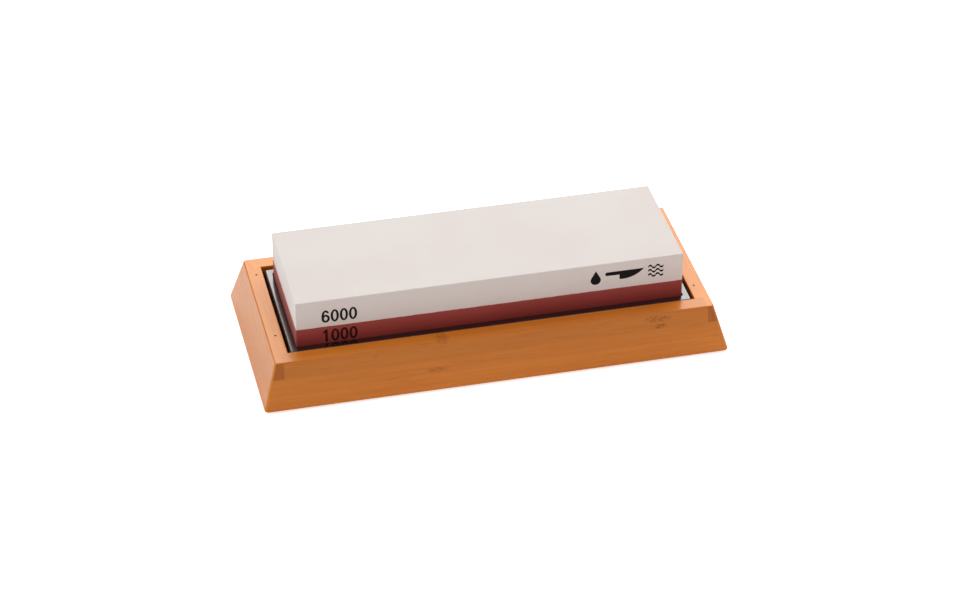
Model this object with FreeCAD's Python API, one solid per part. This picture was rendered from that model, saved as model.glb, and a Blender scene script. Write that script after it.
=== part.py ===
"""Double-sided sharpening whetstone in a silicone holder on a bamboo base.

Millimetres, +Z up, X along the stone, -Y towards the user. The origin is the centre of the face that the
base stands on, at the underside of its anti-slip strips. Every function returns the solid of one piece in
its own place, and the last lines write one STEP file for each piece.
"""

import FreeCAD, Part

import math
import os

from FreeCAD import Vector

# ------------------------------------------------------------------ driving dimensions

# Stone: a fine layer and a coarse layer, joined by a film of adhesive
STONE_LENGTH = 180.0
STONE_WIDTH = 60.0
FINE_THICKNESS = 14.0
BOND_THICKNESS = 0.2
COARSE_THICKNESS = 12.8
STONE_CORNER_RADIUS = 0.6
STONE_RIM_RADIUS = 0.4

# Bamboo base: a block with sloping sides, glued from two plies of board and a frame of four rails.
# Lengths and widths are those of the block before its edges are eased.
BASE_BOTTOM_LENGTH = 216.7
BASE_BOTTOM_WIDTH = 97.2
BASE_TOP_LENGTH = 203.6
BASE_TOP_WIDTH = 86.1
LOWER_PLY = 8.3
UPPER_PLY = 6.7
RAIL_HEIGHT = 7.5
CORNER_RADIUS = 1.8
EDGE_RADIUS = 0.8

# Recess that the frame leaves for the holder
RECESS_LENGTH = 189.3
RECESS_WIDTH = 70.8
RECESS_RIM_RADIUS = 0.4

# Corner joint: the tongue of each end rail covers the ends of the long rails
LEFT_TONGUE = 3.8
RIGHT_TONGUE = 3.0

# Silicone holder
HOLDER_GAP = 1.0
HOLDER_TOP_BELOW_RIM = 1.0
HOLDER_FLOOR = 2.2
HOLDER_SHIFT = 0.25
HOLDER_CORNER_RADIUS = 1.5
HOLDER_SHOULDER_RADIUS = 0.9
HOLDER_FOOT_RADIUS = 0.6
POCKET_CLEARANCE = 0.3
POCKET_LIP_RADIUS = 0.4

# Brads that pin the end rails to the board: places from the outer top edge and from the middle line
BRAD_DIAMETER = 1.0
BRAD_LENGTH = 12.5
BRAD_TIP = 1.5
BRAD_SET = 0.3
BRAD_PLACES = {
    "brad_left_rear": (-1, 4.0, 29.3),
    "brad_left_front": (-1, 4.0, -21.1),
    "brad_right_rear": (1, 4.4, 26.0),
    "brad_right_front": (1, 4.4, -25.0),
}

# Anti-slip strips in grooves of the underside
STRIP_LENGTH = 76.0
STRIP_WIDTH = 10.0
STRIP_PROUD = 0.8
STRIP_GROOVE = 1.2
STRIP_FROM_MIDDLE = 85.0
TREAD_COUNT = 4
TREAD_WIDTH = 0.8
TREAD_DEPTH = 0.4

# Printed marks: a thin coat of ink on the stone's front face
INK = 0.05
DIGIT_HEIGHT = 6.6
DIGIT_WIDTH = 3.75
DIGIT_STROKE = 1.08
DIGIT_PITCH = 4.17
STROKE_AT_ENDS = 0.9
NUMBER_START = 11.8
FINE_NUMBER_FROM_SEAM = 5.4
COARSE_NUMBER_FROM_SEAM = 4.9

# Shapes of the digits: heights and widths as shares of the digit's own
SIX_BOWL = 0.64
SIX_WAIST = 0.32
SIX_SHOULDER = 0.76
SIX_REACH = 0.93
ONE_RIGHT = 0.68
ONE_FLAG = 0.14
ONE_SHOULDER = 0.79
ONE_NOTCH = 0.66

# Symbols: a drop, a knife and three waves
SYMBOL_MIDDLE = 153.5
DROP_HEIGHT = 7.4
DROP_RADIUS = 2.4
BLADE_LENGTH = 11.5
BLADE_HEIGHT = 4.4
BLADE_BELLY = 0.36
HANDLE_LENGTH = 6.8
HANDLE_HEIGHT = 1.9
WAVE_LENGTH = 7.2
WAVE_AMPLITUDE = 0.65
WAVE_STROKE = 0.95
WAVE_PITCH = 2.3
SYMBOL_GAP = 2.0

# ------------------------------------------------------------------ derived sizes

BOARD_BOTTOM = STRIP_PROUD
PLY_SEAM = BOARD_BOTTOM + LOWER_PLY
RECESS_FLOOR = PLY_SEAM + UPPER_PLY
BASE_TOP = RECESS_FLOOR + RAIL_HEIGHT
HOLDER_TOP = BASE_TOP - HOLDER_TOP_BELOW_RIM
HOLDER_LENGTH = RECESS_LENGTH - 2 * HOLDER_GAP
HOLDER_WIDTH = RECESS_WIDTH - 2 * HOLDER_GAP
STONE_BOTTOM = RECESS_FLOOR + HOLDER_FLOOR
BOND_BOTTOM = STONE_BOTTOM + COARSE_THICKNESS
BOND_TOP = BOND_BOTTOM + BOND_THICKNESS
STONE_TOP = BOND_TOP + FINE_THICKNESS
STONE_LEFT = -STONE_LENGTH / 2
STONE_FRONT = -STONE_WIDTH / 2
KNIFE_LENGTH = BLADE_LENGTH + HANDLE_LENGTH
BEYOND = BASE_BOTTOM_LENGTH
TOLERANCE = 1e-4


# ------------------------------------------------------------------ general shapes

def block(x_range, y_range, z_range):
    """A box between two limits on each axis."""
    corner = Vector(x_range[0], y_range[0], z_range[0])
    return Part.makeBox(x_range[1] - x_range[0], y_range[1] - y_range[0], z_range[1] - z_range[0], corner)


def centred_block(length, width, bottom, top):
    """A box centred on the Z axis."""
    return block((-length / 2, length / 2), (-width / 2, width / 2), (bottom, top))


def rim_edges(solid, height, length, width):
    """The edges at one height that lie on a centred rectangle."""
    def on_rim(edge):
        box = edge.BoundBox
        level = abs(box.ZMin - height) < TOLERANCE and abs(box.ZMax - height) < TOLERANCE
        along = abs(abs(edge.CenterOfMass.y) - width / 2) < TOLERANCE and box.XLength > width / 2
        across = abs(abs(edge.CenterOfMass.x) - length / 2) < TOLERANCE and box.YLength > width / 2
        return level and (along or across)

    return [edge for edge in solid.Edges if on_rim(edge)]


def edges_at_height(solid, height):
    """All edges that lie in one level plane."""
    return [edge for edge in solid.Edges
            if abs(edge.BoundBox.ZMin - height) < TOLERANCE and abs(edge.BoundBox.ZMax - height) < TOLERANCE]


def rising_edges(solid, rise):
    """The edges that climb the whole height of a solid."""
    return [edge for edge in solid.Edges if abs(edge.BoundBox.ZLength - rise) < TOLERANCE]


def rounded_block(length, width, bottom, top, corner_radius):
    """A centred box with rounded upright edges."""
    box = centred_block(length, width, bottom, top)
    return box.makeFillet(corner_radius, rising_edges(box, top - bottom))


# ------------------------------------------------------------------ bamboo base

def rectangle(length, width, height):
    """The four corners of a level centred rectangle, in order."""
    half_length, half_width = length / 2, width / 2
    return [Vector(-half_length, -half_width, height), Vector(half_length, -half_width, height),
            Vector(half_length, half_width, height), Vector(-half_length, half_width, height)]


def base_envelope():
    """The whole base as one block: a frustum with rounded corners and eased edges."""
    low = rectangle(BASE_BOTTOM_LENGTH, BASE_BOTTOM_WIDTH, BOARD_BOTTOM)
    high = rectangle(BASE_TOP_LENGTH, BASE_TOP_WIDTH, BASE_TOP)
    outlines = [low[::-1], high]
    for i in range(4):
        j = (i + 1) % 4
        outlines.append([low[i], low[j], high[j], high[i]])
    faces = [Part.Face(Part.makePolygon(points + points[:1])) for points in outlines]
    solid = Part.Solid(Part.Shell(faces))
    solid = solid.makeFillet(CORNER_RADIUS, rising_edges(solid, BASE_TOP - BOARD_BOTTOM))
    rims = edges_at_height(solid, BOARD_BOTTOM) + edges_at_height(solid, BASE_TOP)
    return solid.makeFillet(EDGE_RADIUS, rims)


def frame_block(envelope):
    """The part of the envelope above the board, with the recess cut through it."""
    slab = envelope.common(centred_block(BEYOND, BEYOND, RECESS_FLOOR, BASE_TOP))
    frame = slab.cut(centred_block(RECESS_LENGTH, RECESS_WIDTH, RECESS_FLOOR, BASE_TOP))
    return frame.makeFillet(RECESS_RIM_RADIUS, rim_edges(frame, BASE_TOP, RECESS_LENGTH, RECESS_WIDTH))


def long_rail(frame, side):
    """A rail along X whose two ends sit in the rabbets of the end rails; side is -1 front, 1 rear."""
    left = -(BASE_TOP_LENGTH / 2 - LEFT_TONGUE)
    right = BASE_TOP_LENGTH / 2 - RIGHT_TONGUE
    y_range = sorted((side * RECESS_WIDTH / 2, side * BEYOND))
    return frame.common(block((left, right), y_range, (RECESS_FLOOR, BASE_TOP)))


def end_rail(frame, side, tongue):
    """A rail across the end whose outer tongue runs the full width; side is -1 left, 1 right."""
    inner = sorted((side * RECESS_LENGTH / 2, side * BEYOND))
    outer = sorted((side * (BASE_TOP_LENGTH / 2 - tongue), side * BEYOND))
    levels = (RECESS_FLOOR, BASE_TOP)
    body = block(inner, (-RECESS_WIDTH / 2, RECESS_WIDTH / 2), levels)
    region = body.fuse(block(outer, (-BEYOND, BEYOND), levels)).removeSplitter()
    rail = frame.common(region)
    for name, place in BRAD_PLACES.items():
        if place[0] == side:
            rail = rail.cut(brad_hole(name))
    return rail


def upper_ply(envelope):
    """The ply under the frame, with the blind ends of the brad holes."""
    ply = envelope.common(centred_block(BEYOND, BEYOND, PLY_SEAM, RECESS_FLOOR))
    for name in BRAD_PLACES:
        ply = ply.cut(brad_hole(name))
    return ply


def lower_ply(envelope):
    """The ply that the base stands on, with a round-ended groove for each anti-slip strip."""
    ply = envelope.common(centred_block(BEYOND, BEYOND, BOARD_BOTTOM, PLY_SEAM))
    for side in (-1, 1):
        ply = ply.cut(strip_blank(side, BOARD_BOTTOM + STRIP_GROOVE))
    return ply


# ------------------------------------------------------------------ fasteners and feet

def brad_place(name):
    """Where a brad's axis meets the top of the base."""
    side, from_edge, across = BRAD_PLACES[name]
    return Vector(side * (BASE_TOP_LENGTH / 2 - from_edge), across, BASE_TOP)


def brad(name):
    """A headless pin with a tapered tip, set a little below the surface."""
    down = Vector(0, 0, -1)
    top = brad_place(name) - Vector(0, 0, BRAD_SET)
    shank_length = BRAD_LENGTH - BRAD_TIP
    shank = Part.makeCylinder(BRAD_DIAMETER / 2, shank_length, top, down)
    tip_top = top - Vector(0, 0, shank_length)
    tip = Part.makeCone(BRAD_DIAMETER / 2, BRAD_DIAMETER / 8, BRAD_TIP, tip_top, down)
    return shank.fuse(tip).removeSplitter()


def brad_hole(name):
    """The brad with its hole carried on up through the surface."""
    top = brad_place(name) - Vector(0, 0, BRAD_SET)
    mouth = Part.makeCylinder(BRAD_DIAMETER / 2, 2 * BRAD_SET, top)
    return brad(name).fuse(mouth).removeSplitter()


def strip_blank(side, top):
    """A round-ended bar across the base from the floor up to one level."""
    middle = side * STRIP_FROM_MIDDLE
    straight = STRIP_LENGTH - STRIP_WIDTH
    bar = block((middle - STRIP_WIDTH / 2, middle + STRIP_WIDTH / 2), (-straight / 2, straight / 2), (0, top))
    for end in (-1, 1):
        bar = bar.fuse(Part.makeCylinder(STRIP_WIDTH / 2, top, Vector(middle, end * straight / 2, 0)))
    return bar.removeSplitter()


def anti_slip_strip(side):
    """A rubber strip that stands proud of its groove, with channels between its treads."""
    strip = strip_blank(side, BOARD_BOTTOM + STRIP_GROOVE)
    pitch = STRIP_WIDTH / (TREAD_COUNT + 1)
    for i in range(TREAD_COUNT):
        middle = side * STRIP_FROM_MIDDLE - STRIP_WIDTH / 2 + (i + 1) * pitch
        x_range = (middle - TREAD_WIDTH / 2, middle + TREAD_WIDTH / 2)
        strip = strip.cut(block(x_range, (-STRIP_LENGTH, STRIP_LENGTH), (0, TREAD_DEPTH)))
    return strip


# ------------------------------------------------------------------ holder

def holder_tray():
    """The moulded holder: a floor, a wall with a rounded outer shoulder, and the stone's pocket."""
    body = rounded_block(HOLDER_LENGTH, HOLDER_WIDTH, RECESS_FLOOR, HOLDER_TOP, HOLDER_CORNER_RADIUS)
    body = body.makeFillet(HOLDER_SHOULDER_RADIUS, edges_at_height(body, HOLDER_TOP))
    body = body.makeFillet(HOLDER_FOOT_RADIUS, edges_at_height(body, RECESS_FLOOR))
    pocket_length = STONE_LENGTH + 2 * POCKET_CLEARANCE
    pocket_width = STONE_WIDTH + 2 * POCKET_CLEARANCE
    body = body.cut(rounded_block(pocket_length, pocket_width, STONE_BOTTOM, HOLDER_TOP, STONE_CORNER_RADIUS))
    lip = [edge for edge in edges_at_height(body, HOLDER_TOP)
           if abs(edge.CenterOfMass.x) < pocket_length / 2 + TOLERANCE
           and abs(edge.CenterOfMass.y) < pocket_width / 2 + TOLERANCE]
    return body.makeFillet(POCKET_LIP_RADIUS, lip)


# ------------------------------------------------------------------ stone

def stone_layer(bottom, top, rim_level):
    """One abrasive layer with rounded upright edges and an eased rim on its working face."""
    layer = rounded_block(STONE_LENGTH, STONE_WIDTH, bottom, top, STONE_CORNER_RADIUS)
    return layer.makeFillet(STONE_RIM_RADIUS, edges_at_height(layer, rim_level))


def bond_film():
    """The film of adhesive between the two layers."""
    return rounded_block(STONE_LENGTH, STONE_WIDTH, BOND_BOTTOM, BOND_TOP, STONE_CORNER_RADIUS)


# ------------------------------------------------------------------ printed marks

def ink(face, x, z):
    """Places a flat face, drawn in X and Z, on the front of the stone and gives it the coat's thickness."""
    placed = face.copy()
    placed.translate(Vector(x, STONE_FRONT, z))
    return placed.extrude(Vector(0, -INK, 0))


def flat_ellipse(width, height, x, z):
    """An upright elliptical face."""
    tall = height > width
    major = Vector(0, 0, height / 2) if tall else Vector(width / 2, 0, 0)
    minor = Vector(width / 2, 0, 0) if tall else Vector(0, 0, height / 2)
    middle = Vector(x, 0, z)
    return Part.Face(Part.Wire(Part.Ellipse(middle + major, middle + minor, middle).toShape()))


def flat_polygon(points):
    """An upright face from (x, z) corners."""
    corners = [Vector(x, 0, z) for x, z in points]
    return Part.Face(Part.makePolygon(corners + corners[:1]))


def ring(height, x, z):
    """An oval ring of the numbers' stroke, whose top and bottom are a little thinner than its sides."""
    outer = flat_ellipse(DIGIT_WIDTH, height, x, z)
    inner_height = height - 2 * STROKE_AT_ENDS * DIGIT_STROKE
    return outer.cut(flat_ellipse(DIGIT_WIDTH - 2 * DIGIT_STROKE, inner_height, x, z))


def digit_zero():
    """An oval ring as tall as the line."""
    return [ring(DIGIT_HEIGHT, DIGIT_WIDTH / 2, DIGIT_HEIGHT / 2)]


def digit_six():
    """A bowl, with a stem that follows the left and the top of a zero."""
    bowl_height = SIX_BOWL * DIGIT_HEIGHT
    bowl = ring(bowl_height, DIGIT_WIDTH / 2, bowl_height / 2)
    middle, reach = DIGIT_WIDTH / 2, SIX_REACH * DIGIT_WIDTH
    shoulder, waist = SIX_SHOULDER * DIGIT_HEIGHT, SIX_WAIST * DIGIT_HEIGHT
    window = flat_polygon([(0, waist), (middle, waist), (middle, shoulder), (reach, shoulder),
                           (reach, DIGIT_HEIGHT), (0, DIGIT_HEIGHT)])
    return [bowl, digit_zero()[0].common(window)]


def digit_one():
    """An upright with a sloping flag."""
    right = ONE_RIGHT * DIGIT_WIDTH
    left = right - DIGIT_STROKE
    flag = ONE_FLAG * DIGIT_WIDTH
    shoulder, notch = ONE_SHOULDER * DIGIT_HEIGHT, ONE_NOTCH * DIGIT_HEIGHT
    return [flat_polygon([(left, 0), (right, 0), (right, DIGIT_HEIGHT), (left, DIGIT_HEIGHT),
                          (flag, shoulder), (flag, notch), (left, shoulder)])]


def grit_number(digits, middle_height):
    """A row of printed digits, one solid for each; a digit is a list of faces that join."""
    start = STONE_LEFT + NUMBER_START
    bottom = middle_height - DIGIT_HEIGHT / 2
    solids = []
    for i, faces in enumerate(digits):
        strokes = [ink(face, start + i * DIGIT_PITCH, bottom) for face in faces]
        digit = strokes[0]
        for stroke in strokes[1:]:
            digit = digit.fuse(stroke)
        solids += digit.removeSplitter().Solids
    return Part.makeCompound(solids)


def drop_mark(x, z):
    """A falling drop: a round bottom and two straight flanks that meet it without a corner."""
    tip = DROP_HEIGHT - 2 * DROP_RADIUS
    centre = -DROP_HEIGHT / 2 + DROP_RADIUS
    reach = DROP_RADIUS + tip
    angle = math.acos(DROP_RADIUS / reach)
    touch_x = DROP_RADIUS * math.sin(angle)
    touch_z = centre + DROP_RADIUS * math.cos(angle)
    left, right = Vector(-touch_x, 0, touch_z), Vector(touch_x, 0, touch_z)
    top = Vector(0, 0, DROP_HEIGHT / 2)
    bowl = Part.Arc(right, Vector(0, 0, centre - DROP_RADIUS), left).toShape()
    outline = Part.Wire([bowl, Part.makeLine(left, top), Part.makeLine(top, right)])
    return ink(Part.Face(outline), x, z)


def knife_mark(x, z):
    """A cook's knife in silhouette: a tall blade with a curved edge, and a slender round-ended handle."""
    tip, butt = KNIFE_LENGTH / 2, -KNIFE_LENGTH / 2
    heel = tip - BLADE_LENGTH
    back, edge = BLADE_HEIGHT / 2, -BLADE_HEIGHT / 2
    radius = HANDLE_HEIGHT / 2
    sweep = heel + 2 * BLADE_LENGTH / 3
    outline = Part.Wire([
        Part.makeLine(Vector(butt + radius, 0, back), Vector(tip, 0, back)),
        Part.Arc(Vector(tip, 0, back), Vector(sweep, 0, BLADE_BELLY * edge), Vector(heel, 0, edge)).toShape(),
        Part.makeLine(Vector(heel, 0, edge), Vector(heel, 0, back - HANDLE_HEIGHT)),
        Part.makeLine(Vector(heel, 0, back - HANDLE_HEIGHT), Vector(butt + radius, 0, back - HANDLE_HEIGHT)),
        Part.Arc(Vector(butt + radius, 0, back - HANDLE_HEIGHT), Vector(butt, 0, back - radius),
                 Vector(butt + radius, 0, back)).toShape()])
    return ink(Part.Face(outline), x, z)


def wave_edges(height):
    """A wavy line of four equal arcs, bulging up and down in turn."""
    quarter = WAVE_LENGTH / 4
    edges = []
    for i in range(4):
        bulge = WAVE_AMPLITUDE * (-1) ** i
        start = -WAVE_LENGTH / 2 + i * quarter
        edges.append(Part.Arc(Vector(start, 0, height), Vector(start + quarter / 2, 0, height + bulge),
                              Vector(start + quarter, 0, height)).toShape())
    return edges


def wave_mark(x, z):
    """Three strokes of water with square ends."""
    strokes = []
    for row in (-1, 0, 1):
        low, high = row * WAVE_PITCH - WAVE_STROKE / 2, row * WAVE_PITCH + WAVE_STROKE / 2
        ends = [Part.makeLine(Vector(end, 0, low), Vector(end, 0, high))
                for end in (-WAVE_LENGTH / 2, WAVE_LENGTH / 2)]
        outline = Part.Wire(Part.__sortEdges__(wave_edges(low) + wave_edges(high) + ends))
        strokes.append(ink(Part.Face(outline), x, z))
    return Part.makeCompound(strokes)


def symbols():
    """The row of care symbols, centred where the stone carries its print."""
    widths = [2 * DROP_RADIUS, KNIFE_LENGTH, WAVE_LENGTH]
    total = sum(widths) + SYMBOL_GAP * (len(widths) - 1)
    x = STONE_LEFT + SYMBOL_MIDDLE - total / 2
    z = BOND_TOP + FINE_THICKNESS / 2
    made = {}
    for name, make, width in zip(("drop_symbol", "knife_symbol", "wave_symbol"),
                                 (drop_mark, knife_mark, wave_mark), widths):
        made[name] = make(x + width / 2, z)
        x += width + SYMBOL_GAP
    return made


# ------------------------------------------------------------------ assembly

def base_pieces():
    """Every piece of the base, as a dictionary from its name to its solid."""
    envelope = base_envelope()
    frame = frame_block(envelope)
    pieces = {
        "base_lower_ply": lower_ply(envelope),
        "base_upper_ply": upper_ply(envelope),
        "front_rail": long_rail(frame, -1),
        "rear_rail": long_rail(frame, 1),
        "left_end_rail": end_rail(frame, -1, LEFT_TONGUE),
        "right_end_rail": end_rail(frame, 1, RIGHT_TONGUE),
        "left_anti_slip_strip": anti_slip_strip(-1),
        "right_anti_slip_strip": anti_slip_strip(1),
    }
    for name in BRAD_PLACES:
        pieces[name] = brad(name)
    return pieces


def lifting_pieces():
    """The holder and every piece of the stone, which sit a little off the middle of the recess."""
    zero, one, six = digit_zero(), digit_one(), digit_six()
    pieces = {
        "holder_tray": holder_tray(),
        "coarse_grit_layer": stone_layer(STONE_BOTTOM, BOND_BOTTOM, STONE_BOTTOM),
        "bond_film": bond_film(),
        "fine_grit_layer": stone_layer(BOND_TOP, STONE_TOP, STONE_TOP),
        "fine_grit_number": grit_number([six, zero, zero, zero], BOND_TOP + FINE_NUMBER_FROM_SEAM),
        "coarse_grit_number": grit_number([one, zero, zero, zero], BOND_BOTTOM - COARSE_NUMBER_FROM_SEAM),
    }
    pieces.update(symbols())
    for piece in pieces.values():
        piece.translate(Vector(HOLDER_SHIFT, 0, 0))
    return pieces


os.makedirs("parts", exist_ok=True)
for node, shape in {**base_pieces(), **lifting_pieces()}.items():
    assert shape.isValid(), node
    shape.exportStep("parts/" + node + ".step")
    print(node, len(shape.Solids), "solid(s)", round(shape.Volume, 2), "mm3")
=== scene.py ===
"""Looks of a double-sided sharpening stone in a silicone holder on a bamboo base.

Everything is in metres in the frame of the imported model: X along the stone, -Y towards the user, Z up. Each
sub-assembly is a class that builds its own meshes and dresses the model's solids with procedural finishes.
Colours are linear light, and those given as they are displayed go through linear().
"""

import logging
import math
from dataclasses import dataclass
from enum import Enum
from typing import Any, Iterable, Mapping, Sequence, Union

import bmesh
import bpy
from mathutils import Matrix, Vector

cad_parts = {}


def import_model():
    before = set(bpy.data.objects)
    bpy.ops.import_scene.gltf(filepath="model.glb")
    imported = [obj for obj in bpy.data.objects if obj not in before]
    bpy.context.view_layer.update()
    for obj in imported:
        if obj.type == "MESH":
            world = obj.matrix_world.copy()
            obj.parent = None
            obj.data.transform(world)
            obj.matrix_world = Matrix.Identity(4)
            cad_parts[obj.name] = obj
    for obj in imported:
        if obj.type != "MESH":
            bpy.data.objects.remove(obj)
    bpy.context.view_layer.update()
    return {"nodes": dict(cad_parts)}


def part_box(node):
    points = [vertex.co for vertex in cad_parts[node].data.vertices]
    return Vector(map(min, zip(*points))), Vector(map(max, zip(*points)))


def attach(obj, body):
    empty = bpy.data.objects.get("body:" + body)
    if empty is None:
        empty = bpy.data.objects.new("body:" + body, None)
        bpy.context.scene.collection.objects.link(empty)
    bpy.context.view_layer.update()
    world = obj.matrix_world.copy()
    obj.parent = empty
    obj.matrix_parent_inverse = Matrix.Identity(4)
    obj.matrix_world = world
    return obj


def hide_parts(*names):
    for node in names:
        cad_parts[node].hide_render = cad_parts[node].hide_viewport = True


LOG = logging.getLogger("whetstone")
MM = 0.001
SHARP_ANGLE = math.radians(40)
Colour = tuple[float, float, float]


class Axis(Enum):
    """The direction that the bamboo's fibres run in."""

    X = 0
    Y = 1


def linear(red: int, green: int, blue: int) -> Colour:
    """Turns a display colour from 0 to 255 into a linear one.

    Args:
        red: Red as displayed.
        green: Green as displayed.
        blue: Blue as displayed.

    Returns:
        The same colour as linear light.
    """
    def channel(value: int) -> float:
        """One channel of the display curve."""
        part = value / 255
        return part / 12.92 if part <= 0.04045 else ((part + 0.055) / 1.055) ** 2.4

    return channel(red), channel(green), channel(blue)


# ---------------------------------------------------------------------------- node trees

Input = Union["Signal", float, int, str, bool, Sequence[float], bpy.types.ID, None]


class Signal:
    """One output socket of a node tree, with arithmetic that adds Math nodes."""

    def __init__(self, graph: "Graph", socket: bpy.types.NodeSocket) -> None:
        """Wraps a socket that belongs to a graph."""
        self.graph = graph
        self.socket = socket

    def math(self, operation: str, *values: Input) -> "Signal":
        """Adds a Math node.

        Args:
            operation: The node's operation.
            values: Its inputs, in order.

        Returns:
            The node's result.
        """
        return self.graph.node("ShaderNodeMath", {"operation": operation}, dict(enumerate(values)))

    def __add__(self, other: Input) -> "Signal":
        """self + other."""
        return self.math("ADD", self, other)

    def __radd__(self, other: Input) -> "Signal":
        """other + self."""
        return self.math("ADD", other, self)

    def __sub__(self, other: Input) -> "Signal":
        """self - other."""
        return self.math("SUBTRACT", self, other)

    def __rsub__(self, other: Input) -> "Signal":
        """other - self."""
        return self.math("SUBTRACT", other, self)

    def __mul__(self, other: Input) -> "Signal":
        """self * other."""
        return self.math("MULTIPLY", self, other)

    def __rmul__(self, other: Input) -> "Signal":
        """other * self."""
        return self.math("MULTIPLY", other, self)

    def __truediv__(self, other: Input) -> "Signal":
        """self / other."""
        return self.math("DIVIDE", self, other)

    def __abs__(self) -> "Signal":
        """The size of self."""
        return self.math("ABSOLUTE", self)

    def floor(self) -> "Signal":
        """The whole number below self."""
        return self.math("FLOOR", self)

    def most(self, other: Input) -> "Signal":
        """The larger of self and other."""
        return self.math("MAXIMUM", self, other)

    def step(self, low: Input, high: Input) -> "Signal":
        """A smooth climb from 0 to 1.

        Args:
            low: Where the climb starts.
            high: Where it ends; below low, the climb is a fall.

        Returns:
            The smooth step.
        """
        settings = {"interpolation_type": "SMOOTHSTEP"}
        return self.graph.node("ShaderNodeMapRange", settings, {"Value": self, 1: low, 2: high, 3: 0.0, 4: 1.0})


class Graph:
    """A node tree that is filled one node at a time."""

    def __init__(self, tree: bpy.types.NodeTree) -> None:
        """Starts with an empty tree."""
        self.tree = tree
        tree.nodes.clear()

    def add(self, kind: str, settings: Mapping[str, Any] | None = None,
            inputs: Mapping[int | str, Input] | None = None) -> bpy.types.Node:
        """Adds a node.

        Args:
            kind: The node's type.
            settings: Its properties, set before its sockets.
            inputs: A value or a Signal for each socket, by name or by place.

        Returns:
            The node.
        """
        node = self.tree.nodes.new(kind)
        for name, value in (settings or {}).items():
            setattr(node, name, value)
        for key, value in (inputs or {}).items():
            socket = node.inputs[key]
            if isinstance(value, Signal):
                self.tree.links.new(value.socket, socket)
            elif socket.type == "RGBA" and len(value) == 3:
                socket.default_value = (*value, 1.0)
            else:
                socket.default_value = value
        return node

    def node(self, kind: str, settings: Mapping[str, Any] | None = None,
             inputs: Mapping[int | str, Input] | None = None, output: int | str = 0) -> Signal:
        """Adds a node and wraps one of its outputs.

        Args:
            kind: The node's type.
            settings: Its properties, as in add.
            inputs: Its inputs, as in add.
            output: The output, by name or by place.

        Returns:
            The output.
        """
        return Signal(self, self.add(kind, settings, inputs).outputs[output])


class Shader(Graph):
    """A material's node tree."""

    def __init__(self, name: str) -> None:
        """Makes a material with an empty tree.

        Args:
            name: The material's name.
        """
        self.material = bpy.data.materials.new(name)
        self.material.use_nodes = True
        super().__init__(self.material.node_tree)

    def place(self) -> Signal:
        """The point's place on the object, in metres."""
        return self.node("ShaderNodeTexCoord", output="Object")

    def facing(self) -> Signal:
        """The surface's direction, in the object's own axes."""
        return self.node("ShaderNodeTexCoord", output="Normal")

    def parts(self, vector: Signal) -> tuple[Signal, Signal, Signal]:
        """The three numbers of a vector."""
        node = self.add("ShaderNodeSeparateXYZ", inputs={0: vector})
        return tuple(Signal(self, socket) for socket in node.outputs)

    def point(self, x: Input, y: Input, z: Input) -> Signal:
        """A vector from three numbers."""
        return self.node("ShaderNodeCombineXYZ", inputs={0: x, 1: y, 2: z})

    def scaled(self, vector: Signal, scale: Sequence[float], shift: Sequence[float] = (0, 0, 0)) -> Signal:
        """Stretches and shifts a vector.

        Args:
            vector: The vector.
            scale: The factor on each axis.
            shift: What is added after scaling.

        Returns:
            The new vector.
        """
        return self.node("ShaderNodeMapping", inputs={"Vector": vector, "Scale": scale, "Location": shift})

    def noise(self, vector: Signal, scale: float = 1.0, detail: float = 2.0, roughness: float = 0.5) -> Signal:
        """Cloudy noise around a half.

        Args:
            vector: Where it is read.
            scale: Cells per unit.
            detail: How many finer layers are added.
            roughness: How strong the finer layers are.

        Returns:
            The noise, from 0 to 1.
        """
        return self.node("ShaderNodeTexNoise", inputs={
            "Vector": vector, "Scale": scale, "Detail": detail, "Roughness": roughness})

    def cells(self, vector: Signal, scale: float = 1.0) -> Signal:
        """Uneven cells, each around a random point.

        Args:
            vector: Where they are read.
            scale: Cells per unit.

        Returns:
            The distance from the nearest cell's middle.
        """
        return self.node("ShaderNodeTexVoronoi", inputs={"Vector": vector, "Scale": scale}, output="Distance")

    def mix(self, first: Input, second: Input, factor: Input) -> Signal:
        """Mixes two colours.

        Args:
            first: The colour at factor 0.
            second: The colour at factor 1.
            factor: How much of the second.

        Returns:
            The mixed colour.
        """
        settings = {"data_type": "RGBA", "clamp_factor": True}
        return self.node("ShaderNodeMix", settings, {0: factor, 6: first, 7: second}, output=2)

    def tone(self, colour: Signal, factor: Input) -> Signal:
        """Multiplies a colour by a number.

        Args:
            colour: The colour.
            factor: What each of its channels is multiplied by.

        Returns:
            The lighter or darker colour.
        """
        return self.node("ShaderNodeVectorMath", {"operation": "SCALE"}, {0: colour, "Scale": factor})

    def bump(self, height: Signal, depth: float, strength: float = 1.0, under: Signal | None = None) -> Signal:
        """Turns a height into a surface direction.

        Args:
            height: The relief, about 0 to 1.
            depth: What a height of 1 stands for, in metres.
            strength: How much of it shows.
            under: A coarser relief that it lies on.

        Returns:
            The bumped direction.
        """
        inputs = {"Height": height, "Distance": depth, "Strength": strength}
        if under is not None:
            inputs["Normal"] = under
        return self.node("ShaderNodeBump", inputs=inputs)

    def surface(self, **sockets: Input) -> bpy.types.Material:
        """Ends the tree in a Principled BSDF.

        Args:
            sockets: Its inputs; a name's underscores stand for spaces.

        Returns:
            The finished material.
        """
        inputs = {name.replace("_", " "): value for name, value in sockets.items()}
        bsdf = self.node("ShaderNodeBsdfPrincipled", inputs=inputs)
        self.add("ShaderNodeOutputMaterial", inputs={"Surface": bsdf})
        return self.material


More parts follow.
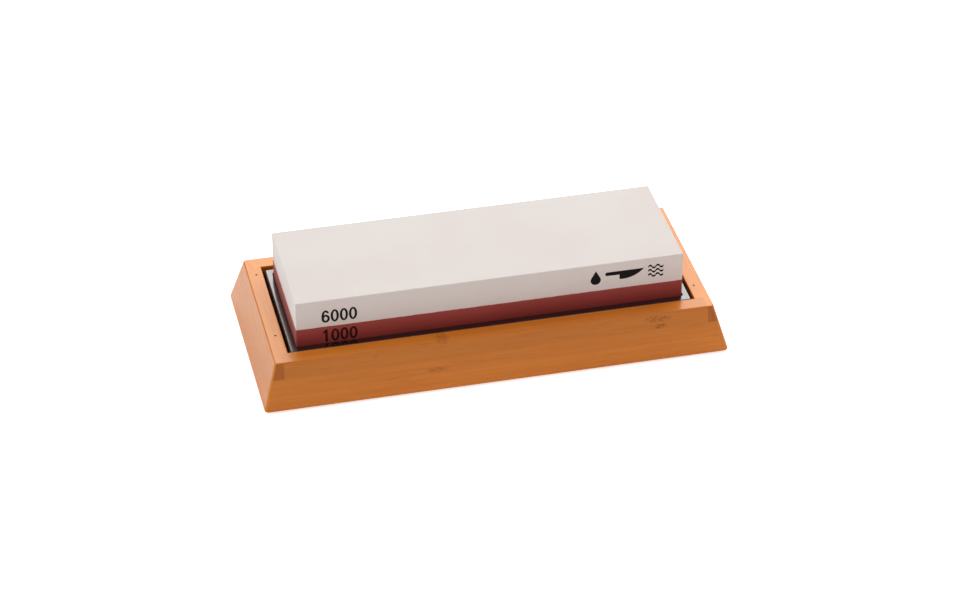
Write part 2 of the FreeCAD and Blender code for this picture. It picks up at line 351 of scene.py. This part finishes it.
class Geometry(Graph):
    """A Geometry Nodes tree with named inputs, applied to make a plain mesh."""

    def __init__(self, name: str, sizes: Mapping[str, tuple[str, Any]]) -> None:
        """Makes the tree and its inputs.

        Args:
            name: The tree's name.
            sizes: For each input, its socket type and its value.
        """
        super().__init__(bpy.data.node_groups.new(name, "GeometryNodeTree"))
        self.values: dict[str, Any] = {}
        for label, (kind, value) in sizes.items():
            item = self.tree.interface.new_socket(label, in_out="INPUT", socket_type=kind)
            self.values[item.identifier] = value
        self.tree.interface.new_socket("Geometry", in_out="OUTPUT", socket_type="NodeSocketGeometry")
        self.group = self.add("NodeGroupInput")

    def size(self, label: str) -> Signal:
        """One of the tree's named inputs."""
        return Signal(self, self.group.outputs[label])

    def bake(self, geometry: Signal, material: bpy.types.Material, name: str) -> bpy.types.Object:
        """Ends the tree, runs it once and keeps its result as a plain mesh.

        Args:
            geometry: What the tree has made.
            material: The finish of all its faces.
            name: The new object's name.

        Returns:
            An object at the origin with the finished mesh.
        """
        real = self.node("GeometryNodeRealizeInstances", inputs={"Geometry": geometry})
        dressed = self.node("GeometryNodeSetMaterial", inputs={"Geometry": real, "Material": material})
        self.add("NodeGroupOutput", inputs={0: dressed})
        maker = new_object(name + "_maker", bpy.data.meshes.new(name + "_maker"))
        modifier = maker.modifiers.new(name, "NODES")
        modifier.node_group = self.tree
        for identifier, value in self.values.items():
            modifier[identifier] = value
        bpy.context.view_layer.update()
        evaluated = maker.evaluated_get(bpy.context.evaluated_depsgraph_get())
        mesh = bpy.data.meshes.new_from_object(evaluated)
        maker.modifiers.clear()
        bpy.data.objects.remove(maker)
        return new_object(name, mesh)


# ---------------------------------------------------------------------------- meshes

def new_object(name: str, mesh: bpy.types.Mesh) -> bpy.types.Object:
    """Links a mesh into the scene as an object at the origin.

    Args:
        name: The object's name, which its mesh takes too.
        mesh: The mesh.

    Returns:
        The object.
    """
    mesh.name = name
    thing = bpy.data.objects.new(name, mesh)
    bpy.context.scene.collection.objects.link(thing)
    return thing


def dress(thing: bpy.types.Object, material: bpy.types.Material) -> None:
    """Makes a material the only one on an object."""
    thing.data.materials.clear()
    thing.data.materials.append(material)


@dataclass(frozen=True)
class Outline:
    """One level ring of a moulded shell: a rounded rectangle, in metres."""

    length: float
    width: float
    radius: float
    middle: Vector

    def points(self, corner_steps: int) -> list[Vector]:
        """The ring's points.

        Args:
            corner_steps: How many spans each corner is divided into.

        Returns:
            The points, anticlockwise from above, as many for every ring.
        """
        found = []
        for quarter in range(4):
            side_x = 1 if quarter in (0, 3) else -1
            side_y = 1 if quarter in (0, 1) else -1
            centre = self.middle + Vector((side_x * (self.length / 2 - self.radius),
                                           side_y * (self.width / 2 - self.radius), 0))
            for i in range(corner_steps + 1):
                turn = math.radians(90 * (quarter + i / corner_steps))
                found.append(centre + Vector((math.cos(turn), math.sin(turn), 0)) * self.radius)
        return found


def loft(name: str, outlines: Iterable[Outline], corner_steps: int = 6) -> bpy.types.Object:
    """Joins rings into one closed shell, with a flat cap on the first and the last.

    Args:
        name: The object's name.
        outlines: The rings, from the underside round the outside to the inside.
        corner_steps: How many spans each corner is divided into.

    Returns:
        The closed mesh, smooth where its faces bend gently.
    """
    shell = bmesh.new()
    rings = [[shell.verts.new(p) for p in outline.points(corner_steps)] for outline in outlines]
    for low, high in zip(rings, rings[1:]):
        for i in range(len(low)):
            j = (i + 1) % len(low)
            shell.faces.new((low[i], low[j], high[j], high[i]))
    shell.faces.new(reversed(rings[0]))
    shell.faces.new(rings[-1])
    bmesh.ops.recalc_face_normals(shell, faces=shell.faces)
    mesh = bpy.data.meshes.new(name)
    shell.to_mesh(mesh)
    shell.free()
    mesh.shade_smooth()
    mesh.set_sharp_from_angle(angle=SHARP_ANGLE)
    return new_object(name, mesh)


def join(name: str, things: Sequence[bpy.types.Object]) -> bpy.types.Object:
    """Makes one mesh of several objects that sit at the origin.

    Args:
        name: The name of the result.
        things: The objects, whose materials are alike; they are removed.

    Returns:
        The joined object.
    """
    whole = bmesh.new()
    for thing in things:
        whole.from_mesh(thing.data)
    mesh = bpy.data.meshes.new(name)
    whole.to_mesh(mesh)
    whole.free()
    mesh.materials.append(things[0].data.materials[0])
    for thing in things:
        bpy.data.objects.remove(thing)
    return new_object(name, mesh)


# ---------------------------------------------------------------------------- finishes

@dataclass(frozen=True)
class NodeMark:
    """A growth ring of the bamboo stem: a cluster of short dark dashes round a middle, with sizes in metres.

    The middle is given along the fibres, across them and up. The cluster reaches to each side of it along the
    fibres, across them by its thickness, and up and down by its spread.
    """

    along: float
    across: float
    up: float
    reach: float = 6 * MM
    spread: float = 2.6 * MM
    depth: float = 1.0
    thickness: float = 6 * MM
    raggedness: float = 4 * MM
    stain: float = 0.16

    def draw(self, shader: Shader, colour: Signal, place: Sequence[Signal], fibre: Colour) -> Signal:
        """Draws the cluster over a colour.

        Args:
            shader: The material's tree.
            colour: The colour under it.
            place: The point along the fibres, across them and up.
            fibre: The dashes' colour.

        Returns:
            The colour with the dashes.
        """
        along, across, up = place
        lean = shader.point(along, across + along * 0.12, up + along * 0.1)
        ragged = shader.noise(shader.scaled(lean, (160, 500, 500)), detail=2)
        gap_along = (along - self.along + (ragged - 0.5) * self.raggedness) / self.reach
        gap_across = (across - self.across) / self.thickness
        gap_up = (up - self.up) / self.spread
        spot = (gap_along * gap_along + gap_across * gap_across + gap_up * gap_up).step(1.0, 0.15)
        dashes = shader.cells(shader.scaled(lean, (520, 2100, 2100), (1.3, 0, 0))).step(0.52, 0.2)
        present = shader.noise(shader.scaled(lean, (300, 1100, 1100)), detail=1).step(0.36, 0.52)
        return shader.mix(colour, fibre, spot * (dashes * present * self.depth + self.stain))


@dataclass(frozen=True)
class Bamboo:
    """Lacquered caramel bamboo whose fibres run along one axis.

    It is glued up from strips that differ a little in tone. Faces that look straight up are painted lighter by
    top_lift, which is shade in the colour itself and stays whatever the light is.
    """

    name: str
    grain: Axis = Axis.X
    tone: float = 1.0
    offset: float = 0.0
    end_tint: float = 0.0
    marks: tuple[NodeMark, ...] = ()
    seams: tuple[float, ...] = ()
    light: Colour = (0.65, 0.224, 0.026)
    dark: Colour = (0.50, 0.142, 0.011)
    fibre: Colour = (0.17, 0.045, 0.005)
    end_grain: Colour = (0.36, 0.085, 0.011)
    lacquer: Colour = (1.0, 0.78, 0.45)
    strip_width: float = 21 * MM
    strip_contrast: float = 0.06
    top_lift: float = 0.17
    dash_strength: float = 0.42
    seam_reach: float = 0.2 * MM
    seam_core: float = 0.04 * MM
    seam_strength: float = 0.2

    def material(self) -> bpy.types.Material:
        """Builds the material.

        Returns:
            The material.
        """
        shader = Shader(self.name)
        x, y, up = shader.parts(shader.place())
        along, across = (x, y) if self.grain is Axis.X else (y, x)
        facing_x, facing_y, facing_up = shader.parts(shader.facing())
        end = abs(facing_x if self.grain is Axis.X else facing_y).step(0.6, 0.9)
        grown = shader.point(along + self.offset, across + self.offset * 0.37, up)
        broad = shader.noise(shader.scaled(grown, (9, 75, 75)), detail=2)
        streak = shader.noise(shader.scaled(grown, (38, 2300, 2300)), detail=3, roughness=0.6)
        strand = shader.noise(shader.scaled(grown, (16, 750, 750), (3.1, 0, 0)), detail=2)
        bundle = shader.cells(shader.scaled(grown, (40, 1900, 1900)))
        rare = shader.noise(shader.scaled(grown, (60, 900, 900), (7.7, 0, 0)), detail=1)
        dash = bundle.step(0.3, 0.1) * rare.step(0.45, 0.68)
        strip = shader.node("ShaderNodeTexWhiteNoise", {"noise_dimensions": "1D"},
                            {"W": ((across + self.offset) * (1 / self.strip_width)).floor()})
        body = broad.step(0.25, 0.75) * 0.34 + strand.step(0.2, 0.8) * 0.26 + streak.step(0.3, 0.75) * 0.4
        grazed = shader.noise(shader.scaled(grown, (700, 24, 900), (0, 4.2, 0)), detail=3)
        colour = shader.mix(self.light, self.dark, body + (grazed - body) * end)
        colour = shader.mix(colour, self.fibre, dash * (1 - end) * self.dash_strength)
        for mark in self.marks:
            colour = mark.draw(shader, colour, (along, across, up), self.fibre)
        pores = shader.cells(shader.scaled(grown, (2, 1350, 1350)))
        cut = shader.mix(self.end_grain, self.fibre, pores.step(0.42, 0.2) * 0.4)
        colour = shader.mix(colour, cut, end * self.end_tint)
        strip_tone = strip * self.strip_contrast + (1 - self.strip_contrast / 2)
        top_tone = facing_up.step(0.85, 0.98) * self.top_lift
        colour = shader.tone(colour, (strip_tone + top_tone) * self.tone)
        for seam in self.seams:
            line = abs(up - seam).step(self.seam_reach, self.seam_core)
            colour = shader.mix(colour, self.fibre, line * self.seam_strength)
        relief = streak * 0.5 + dash * -0.5
        return shader.surface(
            Base_Color=colour, Roughness=streak * 0.12 + 0.2, IOR=1.42, Specular_Tint=self.lacquer,
            Normal=shader.bump(relief, 0.012 * MM, 0.4), Coat_Weight=0.25, Coat_Roughness=0.1)


@dataclass(frozen=True)
class Abrasive:
    """Pressed abrasive grain: matt, faintly clouded and finely speckled, with a dusty bloom at low angles."""

    name: str
    base: Colour
    cloud: Colour
    speck: Colour
    grain: float
    speckle: float
    roughness: float
    relief: float
    bloom: float = 0.0
    bloom_roughness: float = 0.35
    bloom_tint: Colour = (1.0, 0.45, 0.42)

    def material(self) -> bpy.types.Material:
        """Builds the material.

        Returns:
            The material.
        """
        shader = Shader(self.name)
        place = shader.place()
        clouds = shader.noise(place, 22, detail=3)
        fine = shader.noise(place, 1 / self.grain, detail=3, roughness=0.75)
        pits = shader.cells(place, 0.55 / self.grain)
        hole = pits.step(0.22, 0.08)
        colour = shader.mix(self.base, self.cloud, clouds.step(0.35, 0.7))
        specks = (fine.step(0.52, 0.78) * self.speckle).most(hole * self.speckle)
        colour = shader.mix(colour, self.speck, specks)
        relief = fine + hole * -0.9
        return shader.surface(
            Base_Color=colour, Roughness=fine * 0.1 + self.roughness, IOR=1.5,
            Normal=shader.bump(relief, self.relief, 0.7),
            Sheen_Weight=self.bloom, Sheen_Roughness=self.bloom_roughness, Sheen_Tint=self.bloom_tint)


@dataclass(frozen=True)
class Silicone:
    """Black moulded silicone: satin walls and floor, and a glossy rim with faint flow marks and a little dust.

    The gloss starts and is full at given depths below the rim's height, all in metres.
    """

    rim: float
    gloss_start: float = 1.6 * MM
    gloss_full: float = 0.5 * MM
    name: str = "black_silicone"
    base: Colour = linear(24, 17, 14)
    dust: Colour = linear(120, 105, 98)
    shine: Colour = (1.0, 0.92, 0.86)

    def material(self) -> bpy.types.Material:
        """Builds the material.

        Returns:
            The material.
        """
        shader = Shader(self.name)
        place = shader.place()
        _, _, up = shader.parts(place)
        polish = up.step(self.rim - self.gloss_start, self.rim - self.gloss_full)
        flow = shader.noise(place, 55, detail=2)
        skin = shader.noise(place, 2400, detail=2)
        specks = shader.cells(place, 420).step(0.09, 0.03) * shader.noise(place, 60).step(0.5, 0.7)
        soft = shader.bump(flow, 0.2 * MM, 0.3)
        return shader.surface(
            Base_Color=shader.mix(self.base, self.dust, specks * 0.6),
            Roughness=flow * 0.1 + skin * 0.06 + specks * 0.3 + polish * -0.36 + 0.5, IOR=1.5,
            Specular_Tint=self.shine, Coat_Weight=polish, Coat_Roughness=0.18, Coat_IOR=1.6,
            Normal=shader.bump(skin, 0.004 * MM, 0.5, soft))


@dataclass(frozen=True)
class Rubber:
    """Matt black anti-slip rubber with a ground, dusty skin."""

    name: str = "strip_rubber"
    base: Colour = linear(44, 43, 44)
    worn: Colour = linear(86, 84, 82)

    def material(self) -> bpy.types.Material:
        """Builds the material.

        Returns:
            The material.
        """
        shader = Shader(self.name)
        place = shader.place()
        skin = shader.noise(place, 1600, detail=3, roughness=0.7)
        worn = shader.noise(place, 90, detail=3).step(0.45, 0.8)
        return shader.surface(
            Base_Color=shader.mix(self.base, self.worn, worn * 0.5 + skin * 0.2),
            Roughness=skin * 0.15 + 0.7, IOR=1.5, Normal=shader.bump(skin, 0.03 * MM, 0.6))


@dataclass(frozen=True)
class Ink:
    """Printed ink whose coat is broken by the pores of the stone under it."""

    name: str
    base: Colour
    showing: Colour

    def material(self) -> bpy.types.Material:
        """Builds the material.

        Returns:
            The material.
        """
        shader = Shader(self.name)
        place = shader.place()
        grain = shader.noise(place, 3200, detail=2, roughness=0.7)
        patch = shader.noise(place, 500, detail=2)
        thin = grain.step(0.6, 0.8) * patch.step(0.45, 0.75)
        return shader.surface(
            Base_Color=shader.mix(self.base, self.showing, thin * 0.6 + patch * 0.06),
            Roughness=grain * 0.2 + 0.6, IOR=1.25, Normal=shader.bump(grain, 0.01 * MM, 0.6))


@dataclass(frozen=True)
class Steel:
    """Darkened wire with drawing scratches along its length."""

    name: str = "brad_steel"
    base: Colour = linear(62, 40, 28)
    stain: Colour = linear(22, 13, 9)

    def material(self) -> bpy.types.Material:
        """Builds the material.

        Returns:
            The material.
        """
        shader = Shader(self.name)
        place = shader.place()
        drawn = shader.noise(shader.scaled(place, (9000, 9000, 300)), detail=2)
        stain = shader.noise(place, 1500, detail=3).step(0.4, 0.65)
        return shader.surface(
            Base_Color=shader.mix(self.base, self.stain, stain), Metallic=1 - stain * 0.6,
            Roughness=drawn * 0.2 + 0.35, Normal=shader.bump(drawn, 0.01 * MM, 0.5))


@dataclass(frozen=True)
class Adhesive:
    """The edge of a cured film between the two layers."""

    name: str = "bond_film"
    pale: Colour = linear(206, 176, 166)
    red: Colour = linear(150, 84, 74)

    def material(self) -> bpy.types.Material:
        """Builds the material.

        Returns:
            The material.
        """
        shader = Shader(self.name)
        place = shader.place()
        smear = shader.noise(shader.scaled(place, (300, 300, 2500)), detail=3)
        return shader.surface(
            Base_Color=shader.mix(self.pale, self.red, smear.step(0.4, 0.65)),
            Roughness=smear * 0.2 + 0.5, IOR=1.5, Normal=shader.bump(smear, 0.02 * MM, 0.5))


# ---------------------------------------------------------------------------- sub-assemblies

@dataclass
class BambooBase:
    """The glued bamboo base with its brads and its anti-slip strips."""

    nodes: Mapping[str, bpy.types.Object]

    def build(self) -> list[str]:
        """Dresses every piece of the base.

        Returns:
            The names of the pieces.
        """
        _, board_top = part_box("base_upper_ply")
        _, ply_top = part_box("base_lower_ply")
        _, rail_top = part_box("front_rail")
        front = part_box("front_rail")[0].y
        seam, ply_seam, rim = board_top.z, ply_top.z, rail_top.z
        finishes = {
            "front_rail": Bamboo("bamboo_front_rail", offset=0.013, tone=0.9, marks=(
                NodeMark(75 * MM, front, rim - 2.6 * MM, reach=8 * MM, spread=1.9 * MM),
                NodeMark(76 * MM, front, rim - 6.3 * MM, reach=5 * MM, spread=1.3 * MM),
                NodeMark(-25 * MM, front + 5 * MM, rim, reach=4 * MM, spread=2 * MM, depth=0.5),
                NodeMark(-56 * MM, front, rim - 2.5 * MM, reach=1.6 * MM, spread=0.8 * MM, depth=0.6))),
            "rear_rail": Bamboo("bamboo_rear_rail", offset=0.151, marks=(
                NodeMark(-52 * MM, -front, rim - 3 * MM),)),
            "left_end_rail": Bamboo("bamboo_left_end_rail", Axis.Y, offset=0.093, end_tint=0.8),
            "right_end_rail": Bamboo("bamboo_right_end_rail", Axis.Y, offset=0.211, end_tint=0.85),
            "base_upper_ply": Bamboo("bamboo_upper_ply", offset=0.067, tone=0.99, seams=(seam,), marks=(
                NodeMark(-28 * MM, front - 2 * MM, seam - 5 * MM, spread=1.5 * MM, depth=0.5),)),
            "base_lower_ply": Bamboo("bamboo_lower_ply", offset=0.177, tone=1.03, seams=(ply_seam,), marks=(
                NodeMark(41 * MM, -front, 4 * MM),)),
        }
        for name, finish in finishes.items():
            dress(self.nodes[name], finish.material())
        steel, rubber = Steel().material(), Rubber().material()
        brads = [name for name in self.nodes if name.startswith("brad_")]
        strips = [name for name in self.nodes if name.endswith("_anti_slip_strip")]
        for name in brads:
            dress(self.nodes[name], steel)
        for name in strips:
            dress(self.nodes[name], rubber)
        return [*finishes, *brads, *strips]


@dataclass
class SiliconeHolder:
    """The moulded holder: a wall with a rounded shoulder round a pocket with small studs and grip ribs.

    Radii, heights and pitches are in metres; spans count the faces over a rounded edge.
    """

    shoulder_radius: float = 0.9 * MM
    land_fall: float = 0.04 * MM
    corner_radius: float = 1.5 * MM
    foot_radius: float = 0.6 * MM
    clearance: float = 0.3 * MM
    lip_radius: float = 0.4 * MM
    stud_height: float = 0.35 * MM
    stud_radius: float = 1.1 * MM
    stud_pitch: float = 6 * MM
    rib_radius: float = 0.22 * MM
    rib_pitch: float = 9 * MM
    floor_fillet: float = 0.36 * MM
    foot_spans: int = 3
    shoulder_spans: int = 14
    lip_spans: int = 4
    floor_spans: int = 3

    def build(self) -> bpy.types.Object:
        """Makes the holder and puts it in place of the model's plain one.

        Returns:
            The holder.
        """
        material = Silicone(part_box("holder_tray")[1].z).material()
        shell = loft("holder_shell", self.outlines())
        dress(shell, material)
        holder = join("silicone_holder", [shell, self.studs(material), *self.ribs(material)])
        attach(holder, "holder")
        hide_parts("holder_tray")
        return holder

    def outlines(self) -> list[Outline]:
        """The shell's rings, from under the floor, over the shoulder and into the pocket.

        Returns:
            The rings in order.
        """
        low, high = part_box("holder_tray")
        stone_low, stone_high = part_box("coarse_grit_layer")
        length, width = high.x - low.x, high.y - low.y
        pocket_length = stone_high.x - stone_low.x + 2 * self.clearance
        pocket_width = stone_high.y - stone_low.y + 2 * self.clearance
        floor = stone_low.z - self.stud_height
        rings = []

        def level(height: float) -> Vector:
            """The middle of a ring at a height."""
            return Vector(((low.x + high.x) / 2, (low.y + high.y) / 2, height))

        def outside(inset: float, height: float) -> None:
            """Adds a ring that follows the outer wall at an inset."""
            radius = max(self.corner_radius - inset, self.lip_radius)
            rings.append(Outline(length - 2 * inset, width - 2 * inset, radius, level(height)))

        def inside(widening: float, height: float) -> None:
            """Adds a ring that follows the pocket's wall."""
            rings.append(Outline(pocket_length + 2 * widening, pocket_width + 2 * widening,
                                 self.lip_radius + max(widening, 0), level(height)))

        for turn in quarter_turn(self.foot_spans):
            outside(self.foot_radius * (1 - math.sin(turn)), low.z + self.foot_radius * (1 - math.cos(turn)))
        shoulder = high.z - self.land_fall - self.shoulder_radius
        for turn in quarter_turn(self.shoulder_spans):
            outside(self.shoulder_radius * (1 - math.cos(turn)),
                    shoulder + self.shoulder_radius * math.sin(turn))
        for turn in quarter_turn(self.lip_spans):
            inside(self.lip_radius * (1 - math.sin(turn)), high.z - self.lip_radius * (1 - math.cos(turn)))
        for turn in quarter_turn(self.floor_spans):
            inside(-self.floor_fillet * (1 - math.cos(turn)), floor + self.lip_radius * (1 - math.sin(turn)))
        return rings

    def studs(self, material: bpy.types.Material) -> bpy.types.Object:
        """Low domes in rows over the pocket's floor, on which the stone rests.

        Args:
            material: The holder's finish.

        Returns:
            The domes as one mesh.
        """
        low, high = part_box("coarse_grit_layer")
        margin = 2 * self.stud_pitch
        length, width = high.x - low.x - margin, high.y - low.y - margin
        tree = Geometry("pocket_studs", {
            "Length": ("NodeSocketFloat", length), "Width": ("NodeSocketFloat", width),
            "Columns": ("NodeSocketInt", round(length / self.stud_pitch) + 1),
            "Rows": ("NodeSocketInt", round(width / self.stud_pitch) + 1),
            "Radius": ("NodeSocketFloat", self.stud_radius), "Height": ("NodeSocketFloat", self.stud_height),
            "Level": ("NodeSocketVector", ((low.x + high.x) / 2, 0, low.z - self.stud_height))})
        grid = tree.node("GeometryNodeMeshGrid", inputs={
            "Size X": tree.size("Length"), "Size Y": tree.size("Width"),
            "Vertices X": tree.size("Columns"), "Vertices Y": tree.size("Rows")})
        ball = tree.node("GeometryNodeMeshUVSphere", inputs={"Segments": 12, "Rings": 6, "Radius": 1.0})
        flat = tree.node("ShaderNodeCombineXYZ", inputs={0: tree.size("Radius"), 1: tree.size("Radius"),
                                                         2: tree.size("Height")})
        dome = tree.node("GeometryNodeTransform", inputs={"Geometry": ball, "Scale": flat})
        dots = tree.node("GeometryNodeInstanceOnPoints", inputs={"Points": grid, "Instance": dome})
        placed = tree.node("GeometryNodeTransform", inputs={
            "Geometry": dots, "Translation": tree.size("Level")})
        return tree.bake(placed, material, "holder_studs")

    def ribs(self, material: bpy.types.Material) -> list[bpy.types.Object]:
        """Upright half-round ribs in a row along each long wall of the pocket.

        Args:
            material: The holder's finish.

        Returns:
            One mesh for each wall.
        """
        low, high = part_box("coarse_grit_layer")
        _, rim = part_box("holder_tray")
        middle, length = (low.x + high.x) / 2, high.x - low.x - 2 * self.rib_pitch
        tall = rim.z - self.lip_radius - low.z
        rows = []
        for label, wall in (("front", low.y - self.clearance), ("rear", high.y + self.clearance)):
            tree = Geometry("pocket_ribs_" + label, {
                "Start": ("NodeSocketVector", (middle - length / 2, wall, low.z + tall / 2)),
                "End": ("NodeSocketVector", (middle + length / 2, wall, low.z + tall / 2)),
                "Count": ("NodeSocketInt", round(length / self.rib_pitch) + 1),
                "Radius": ("NodeSocketFloat", self.rib_radius), "Height": ("NodeSocketFloat", tall)})
            line = tree.node("GeometryNodeMeshLine", {"mode": "END_POINTS"}, {
                "Count": tree.size("Count"), "Start Location": tree.size("Start"), "Offset": tree.size("End")})
            rib = tree.node("GeometryNodeMeshCylinder", inputs={
                "Vertices": 12, "Radius": tree.size("Radius"), "Depth": tree.size("Height")})
            row = tree.node("GeometryNodeInstanceOnPoints", inputs={"Points": line, "Instance": rib})
            rows.append(tree.bake(row, material, "holder_ribs_" + label))
        return rows


def quarter_turn(spans: int) -> list[float]:
    """Even angles from 0 to a right angle, both ends included."""
    return [math.pi / 2 * i / spans for i in range(spans + 1)]


@dataclass
class Stone:
    """The double-sided stone with its print."""

    nodes: Mapping[str, bpy.types.Object]

    def build(self) -> list[str]:
        """Dresses the two layers, the film between them and the print.

        Returns:
            The names of the pieces.
        """
        fine = Abrasive("fine_abrasive", (0.685, 0.675, 0.645), (0.68, 0.64, 0.622), (0.56, 0.53, 0.50),
                        grain=0.22 * MM, speckle=0.3, roughness=0.78, relief=0.03 * MM)
        coarse = Abrasive("coarse_abrasive", (0.31, 0.040, 0.032), (0.27, 0.034, 0.027), (0.46, 0.13, 0.10),
                          grain=0.3 * MM, speckle=0.3, roughness=0.5, relief=0.05 * MM, bloom=0.65)
        on_fine = Ink("ink_on_fine", linear(5, 4, 4), linear(96, 88, 84))
        on_coarse = Ink("ink_on_coarse", linear(40, 13, 11), linear(90, 30, 25))
        finishes = {
            "fine_grit_layer": fine, "coarse_grit_layer": coarse, "bond_film": Adhesive(),
            "fine_grit_number": on_fine, "drop_symbol": on_fine, "knife_symbol": on_fine,
            "wave_symbol": on_fine, "coarse_grit_number": on_coarse,
        }
        made: dict[str, bpy.types.Material] = {}
        for name, finish in finishes.items():
            if finish.name not in made:
                made[finish.name] = finish.material()
            dress(self.nodes[name], made[finish.name])
        return list(finishes)


# ---------------------------------------------------------------------------- studio

@dataclass(frozen=True)
class Softbox:
    """A square-cornered soft light that faces the object from a direction.

    Angles are in degrees as in direction(), and lengths in metres.
    """

    name: str
    azimuth: float
    elevation: float
    distance: float
    width: float
    height: float
    radiance: float
    tint: Colour = (1.0, 1.0, 1.0)

    def build(self, target: Vector) -> None:
        """Places the light.

        Args:
            target: What it faces.
        """
        lamp = bpy.data.lights.new(self.name, "AREA")
        lamp.shape = "RECTANGLE"
        lamp.size, lamp.size_y = self.width, self.height
        lamp.energy = self.radiance * math.pi * self.width * self.height
        lamp.color = self.tint
        thing = bpy.data.objects.new(self.name, lamp)
        bpy.context.scene.collection.objects.link(thing)
        towards = direction(self.azimuth, self.elevation)
        thing.location = target + towards * self.distance
        thing.rotation_euler = towards.to_track_quat("Z", "Y").to_euler()


def direction(azimuth: float, elevation: float) -> Vector:
    """The unit vector from the object towards a viewer.

    Args:
        azimuth: Degrees round from -Y, positive towards +X.
        elevation: Degrees above the floor.

    Returns:
        The vector.
    """
    turn, rise = math.radians(azimuth), math.radians(elevation)
    return Vector((math.sin(turn) * math.cos(rise), -math.cos(turn) * math.cos(rise), math.sin(rise)))


@dataclass(frozen=True)
class Studio:
    """The camera, the lights, the floor and the sky.

    Angles are in degrees as in direction(), lengths in metres, and the lens and its sensor in millimetres. The
    floor and the sky are brighter to the camera, by floor_seen and sky_seen, than the light that they give.
    """

    azimuth: float = -13.13
    elevation: float = 34.39
    distance: float = 1.4634
    lens: float = 117.67
    sensor: float = 36.0
    clip_end: float = 50.0
    aim: tuple[float, float, float] = (3.15 * MM, 5.32 * MM, 9.5 * MM)
    floor_size: float = 12.0
    sky: float = 0.39
    sky_seen: float = 1.0
    floor_glow: float = 0.12
    floor_seen: float = 0.6
    softboxes: tuple[Softbox, ...] = (
        Softbox("back_light", 153, 36, 1.3, 1.5, 0.9, 3.5),
        Softbox("top_light", -110, 66, 1.4, 1.2, 1.2, 0.2),
        Softbox("left_fill", -95, 30, 1.5, 1.0, 1.0, 2.7),
        Softbox("front_fill", 34, 46, 1.6, 1.2, 1.0, 1.75, (1.0, 0.62, 0.54)),
    )

    def build(self) -> None:
        """Makes everything that isn't part of the object."""
        self.make_camera()
        self.make_floor()
        self.make_sky()
        for box in self.softboxes:
            box.build(Vector(self.aim))
        bpy.context.scene.view_settings.view_transform = "Standard"

    def make_camera(self) -> None:
        """Places the camera by its angles round the point that it aims at."""
        lens = bpy.data.cameras.new("camera")
        lens.sensor_width, lens.lens = self.sensor, self.lens
        lens.clip_end = self.clip_end
        camera = bpy.data.objects.new("camera", lens)
        bpy.context.scene.collection.objects.link(camera)
        back = direction(self.azimuth, self.elevation)
        right = Vector((0, 0, 1)).cross(back).normalized()
        turn = Matrix((right, back.cross(right), back)).transposed()
        camera.matrix_world = Matrix.Translation(Vector(self.aim) + back * self.distance) @ turn.to_4x4()
        bpy.context.scene.camera = camera

    def make_floor(self) -> None:
        """Lays a pale floor under the object."""
        half = self.floor_size / 2
        mesh = bpy.data.meshes.new("floor")
        mesh.from_pydata([(-half, -half, 0), (half, -half, 0), (half, half, 0), (-half, half, 0)], [],
                         [(0, 1, 2, 3)])
        floor = new_object("floor", mesh)
        shader = Shader("floor_paper")
        fibre = shader.noise(shader.place(), 900, detail=3)
        glow = self.seen(shader) * (self.floor_seen - self.floor_glow) + self.floor_glow
        dress(floor, shader.surface(
            Base_Color=shader.mix((0.93, 0.93, 0.93), (0.95, 0.95, 0.95), fibre), Roughness=0.9,
            Emission_Color=shader.point(glow, glow, glow), Emission_Strength=1.0))

    @staticmethod
    def seen(graph: Graph) -> Signal:
        """1 where the camera looks straight at the surface, 0 in its light and its reflections."""
        return graph.node("ShaderNodeLightPath", output="Is Camera Ray")

    def make_sky(self) -> None:
        """Surrounds the scene with even white light."""
        world = bpy.data.worlds.new("sky")
        bpy.context.scene.world = world
        world.use_nodes = True
        graph = Graph(world.node_tree)
        strength = self.seen(graph) * (self.sky_seen - self.sky) + self.sky
        glow = graph.node("ShaderNodeBackground", inputs={"Color": (1.0, 1.0, 1.0), "Strength": strength})
        graph.add("ShaderNodeOutputWorld", inputs={"Surface": glow})


# ---------------------------------------------------------------------------- the whole


def main() -> None:
    """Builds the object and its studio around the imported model."""
    logging.basicConfig(level=logging.INFO, format="%(name)s: %(message)s")
    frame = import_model()
    Studio().build()
    for name in BambooBase(frame["nodes"]).build():
        LOG.info("dressed %s", name)
    holder = SiliconeHolder().build()
    LOG.info("built %s, %d faces", holder.name, len(holder.data.polygons))
    for name in Stone(frame["nodes"]).build():
        LOG.info("dressed %s", name)


if __name__ == "__main__":
    main()
